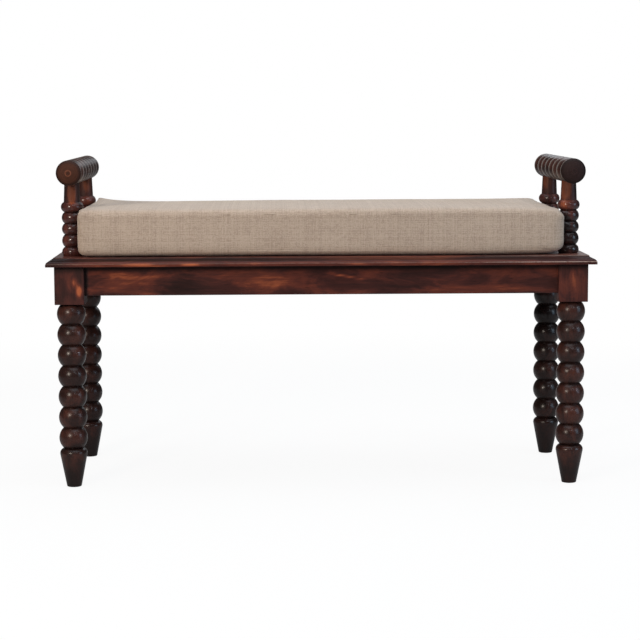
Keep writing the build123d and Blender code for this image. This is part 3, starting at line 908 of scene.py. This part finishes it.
def half_width(side, y, z):
    """Half width of the cushion: drawn in between its corners, wider in front of the arm posts."""
    drawn = END_DRAW_IN * (1 - (y / CUSHION_HIGH[1]) ** 2)
    return CUSHION_HIGH[0] - drawn + FRONT_FLARE[side] * flare_share(side, y, z)


def end_reach(points, side):
    """How far one end of the pad reaches at even steps of depth, away from the rounded corners."""
    reach = []
    y = -CUSHION_HIGH[1] + CORNER_RADIUS
    while y < CUSHION_HIGH[1] - CORNER_RADIUS:
        reach.append((y, max(side * point.x for point in points if abs(point.y - y) < PROFILE_STEP)))
        y += PROFILE_STEP
    return reach


def read_profile(reach, y):
    place = (y - reach[0][0]) / PROFILE_STEP
    low = max(0, min(len(reach) - 2, int(place)))
    share = max(0.0, min(1.0, place - low))
    return reach[low][1] + share * (reach[low + 1][1] - reach[low][1])


def crisp_share(side, y, rise, gap):
    """How far a point near an end's upper edge is drawn out to sharpen it, at the right only in front."""
    share = CRISP_EDGE[side] * smoothstep(*CRISP_RISE, rise) * (1 - smoothstep(*CRISP_GAP, gap))
    if side > 0:
        share *= smoothstep(*CRISP_RIGHT_DEPTH, y)
    return share


def top_lift(x, y):
    """How far the top is lifted by its tilt, its corners and the lip along its left end."""
    lift = TOP_TILT * x / CUSHION_HIGH[0] - TOP_DROP
    for side, end, rise, reach in EARS:
        away = (x - side * CUSHION_HIGH[0]) ** 2 + (y - end * CUSHION_HIGH[1]) ** 2
        lift += rise * exp(-away / reach**2)
    from_end = (x + CUSHION_HIGH[0]) / END_LIP_REACH
    return lift + END_LIP * exp(-from_end * from_end) * smoothstep(*END_LIP_DEPTH, y)


def settle(mesh):
    """Fits the pad to its reach, shapes its top, then leaves the room that seat and posts need."""
    noise.seed_set(RIPPLE_SEED)
    points = [vertex.co.copy() for vertex in mesh.vertices]
    height = CUSHION_HIGH[2] - CUSHION_LOW[2]
    deep = {side: CUSHION_HIGH[1] / max(side * point.y for point in points) for side in (-1, 1)}
    for point in points:
        point.y *= deep[1 if point.y > 0 else -1]
    ends = {side: end_reach(points, side) for side in (-1, 1)}
    for vertex, (x, y, z) in zip(mesh.vertices, points):
        side = 1 if x > 0 else -1
        width = half_width(side, y, z)
        rise = (z - CUSHION_LOW[2]) / height
        x *= width / read_profile(ends[side], y)
        gap = width - side * x
        x += side * gap * crisp_share(side, y, rise, gap)
        start = Vector((x, y, z))
        place = start.copy()
        off_seat = smoothstep(*RIPPLE_RISE, z - CUSHION_LOW[2])
        for scale, depth in RIPPLE_SIZES:
            place += noise.noise_vector(start * scale) * depth * off_seat
        place.z += top_lift(x, y) * smoothstep(*LIFT_RISE, rise)
        limit = CUSHION_HIGH[0] + POST_SIDE_ROOM + FRONT_FLARE[side] * flare_share(side, place.y, place.z)
        place.x = max(-limit, min(limit, place.x))
        place.z = max(place.z, SEAT_TOP + REST_GAP)
        vertex.co = place


SEAM_WIDTH = 0.0012
LOW_SEAM_DEPTH = 0.0004
TOP_SEAM_DEPTH = 0.0002
SEAM_CLOSE = 1e-5
CUT_CLOSE = 1e-6
WALL_SLOPE = 0.9


def sew_seams(mesh):
    """Cuts a fine groove round the border where it is sewn to the base and to the top."""
    work = bmesh.new()
    work.from_mesh(mesh)
    for seam_z, depth in ((BORDER_LOW[2], LOW_SEAM_DEPTH), (BORDER_HIGH[2], TOP_SEAM_DEPTH)):
        for offset in (-SEAM_WIDTH, 0.0, SEAM_WIDTH):
            everything = list(work.verts) + list(work.edges) + list(work.faces)
            plane = (0, 0, seam_z + offset)
            bmesh.ops.bisect_plane(work, geom=everything, dist=CUT_CLOSE, plane_co=plane, plane_no=(0, 0, 1))
        work.normal_update()
        for vertex in work.verts:
            if abs(vertex.co.z - seam_z) < SEAM_CLOSE and abs(vertex.normal.z) < WALL_SLOPE:
                vertex.co -= vertex.normal * depth
    work.to_mesh(mesh)
    work.free()


def make_cushion():
    raw = mesh_object("cushion_raw", cushion_start())
    remesh = raw.modifiers.new("remesh", "REMESH")
    remesh.mode = "VOXEL"
    remesh.voxel_size = CUSHION_VOXEL
    mesh = applied_mesh(raw)
    bpy.data.objects.remove(raw)
    relax(mesh)
    mesh = swell(mesh)
    settle(mesh)
    cushion = mesh_object("cushion_pad", mesh)
    smooth = cushion.modifiers.new("smooth", "SUBSURF")
    smooth.levels = smooth.render_levels = 1
    fine = applied_mesh(cushion)
    cushion.modifiers.clear()
    sew_seams(fine)
    cushion.data = fine
    for polygon in fine.polygons:
        polygon.use_smooth = True
    fine.materials.clear()
    fine.materials.append(linen("linen_cover"))
    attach(cushion, "cushion")
    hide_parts("cushion_cover_base", "cushion_cover_border", "cushion_cover_top", "cushion_foam")


def add_camera():
    yaw, pitch, roll = radians(CAMERA_YAW), radians(CAMERA_PITCH), radians(CAMERA_ROLL)
    forward = Vector((sin(yaw) * cos(pitch), cos(yaw) * cos(pitch), -sin(pitch)))
    right = Vector((cos(yaw), -sin(yaw), 0.0))
    down = forward.cross(right)
    across = cos(roll) * right + sin(roll) * down
    below = cos(roll) * down - sin(roll) * right
    data = bpy.data.cameras.new("camera")
    data.sensor_width = SENSOR_MM
    data.lens = CAMERA_FOCAL_PX * SENSOR_MM / PHOTO_WIDTH_PX
    data.clip_end = 100.0
    camera = bpy.data.objects.new("camera", data)
    axes = Matrix((across, -below, -forward)).transposed()
    camera.matrix_world = Matrix.Translation(CAMERA_PLACE) @ axes.to_4x4()
    scene.collection.objects.link(camera)
    scene.camera = camera


def add_area(name, place, aim, size, power, colour):
    data = bpy.data.lights.new(name, "AREA")
    data.shape = "RECTANGLE"
    data.size, data.size_y = size
    data.energy = power
    data.color = colour
    light = bpy.data.objects.new(name, data)
    light.location = place
    light.rotation_euler = (Vector(aim) - Vector(place)).to_track_quat("-Z", "Y").to_euler()
    scene.collection.objects.link(light)


WARM = (1.0, 0.885, 0.76)
COOL = (0.86, 0.93, 1.0)
BLUE = (0.52, 0.77, 1.0)
# Small panes of cool light, which show as highlights on the beads.
PANES = [(0.50, -2.50, 2.02), (1.20, -2.42, 1.86), (2.60, -1.60, 1.50)]


def add_lights():
    add_area("key_left", (-1.62, -2.68, 1.32), (0, 0, 0.40), (0.6, 0.6), 43, WARM)
    for index, place in enumerate(PANES):
        add_area("pane_%d" % index, place, (0.2, 0, 0.35), (0.14, 0.26), 3.0, COOL)
    add_area("top", (0.1, -0.1, 2.6), (0, 0, 0.4), (3.4, 3.0), 63, COOL)
    add_area("right_fill", (2.3, -1.2, 0.9), (0.3, -0.1, 0.45), (0.8, 1.2), 11.5, BLUE)
    add_area("rear_fill", (0.9, 2.6, 1.9), (0, 0, 0.4), (1.6, 1.2), 10, COOL)


# Strength of the surroundings: what lights the object, and what gloss sees around it and straight behind it.
AMBIENT = 0.14
SIDE_GLOSS = 0.06
BACKDROP_GLOSS = 0.50
BACKDROP_EDGE = (0.95, 0.994)
WHITE = (1.0, 1.0, 1.0, 1.0)


def add_world():
    world = bpy.data.worlds.new("studio")
    scene.world = world
    n = Nodes(world, "ShaderNodeOutputWorld")
    paths = n.add("ShaderNodeLightPath").outputs
    direction = n.parts(n.add("ShaderNodeTexCoord").outputs["Generated"])
    behind = n.smooth(direction[1], *BACKDROP_EDGE)
    gloss = n.range(behind, 0.0, 1.0, SIDE_GLOSS, BACKDROP_GLOSS)
    change = n.times(paths["Is Glossy Ray"], n.math("SUBTRACT", gloss, AMBIENT))
    strength = n.math("ADD", AMBIENT, change)
    seen = n.math("MAXIMUM", paths["Is Camera Ray"], paths["Is Transmission Ray"])
    back = n.add("ShaderNodeBackground")
    back.inputs["Color"].default_value = WHITE
    n.link(n.math("MAXIMUM", strength, seen), back.inputs["Strength"])
    n.link(back.outputs[0], n.output.inputs["Surface"])


# The floor as it lights the object, and as it is seen under its lift to white.
FLOOR_PAINT = (0.36, 0.36, 0.36, 1.0)
FLOOR_PALE = (0.95, 0.95, 0.95, 1.0)
FLOOR_RADIUS = 2.6
FLOOR_FADE = (1.1, 2.3)
FLOOR_LIFT = 0.92
FLOOR_GLOSS = 0.2
FLOOR_SIDES = 96


def floor_paint():
    n = material_nodes("floor_paint")
    paths = n.add("ShaderNodeLightPath").outputs
    x, y, _ = n.parts(n.place())
    lift = n.smooth(n.length(x, y), *FLOOR_FADE, FLOOR_LIFT, 1.0)
    gloss = n.times(paths["Is Glossy Ray"], FLOOR_GLOSS)
    seen = n.math("MAXIMUM", paths["Is Camera Ray"], paths["Is Transmission Ray"])
    paint = n.add("ShaderNodeBsdfDiffuse")
    paint.inputs["Color"].default_value = FLOOR_PAINT
    pale = n.add("ShaderNodeBsdfDiffuse")
    pale.inputs["Color"].default_value = FLOOR_PALE
    lifted = n.mix_shader(lift, pale, n.add("ShaderNodeEmission"))
    shown = n.mix_shader(n.math("MAXIMUM", seen, gloss), paint, lifted)
    n.link(shown.outputs[0], n.output.inputs["Surface"])
    return n.owner


def add_floor():
    """A pale round floor, lifted to the backdrop's white, more so towards its rim. It keeps the shadow."""
    mesh = bpy.data.meshes.new("floor")
    turns = [2 * pi * step / FLOOR_SIDES for step in range(FLOOR_SIDES)]
    points = [(FLOOR_RADIUS * cos(turn), FLOOR_RADIUS * sin(turn), 0) for turn in turns]
    mesh.from_pydata(points, [], [range(FLOOR_SIDES)])
    floor = mesh_object("floor", mesh)
    mesh.materials.append(floor_paint())


add_camera()
add_world()
add_lights()
add_floor()
dress_nodes()
make_cushion()
scene.view_settings.view_transform = "Standard"
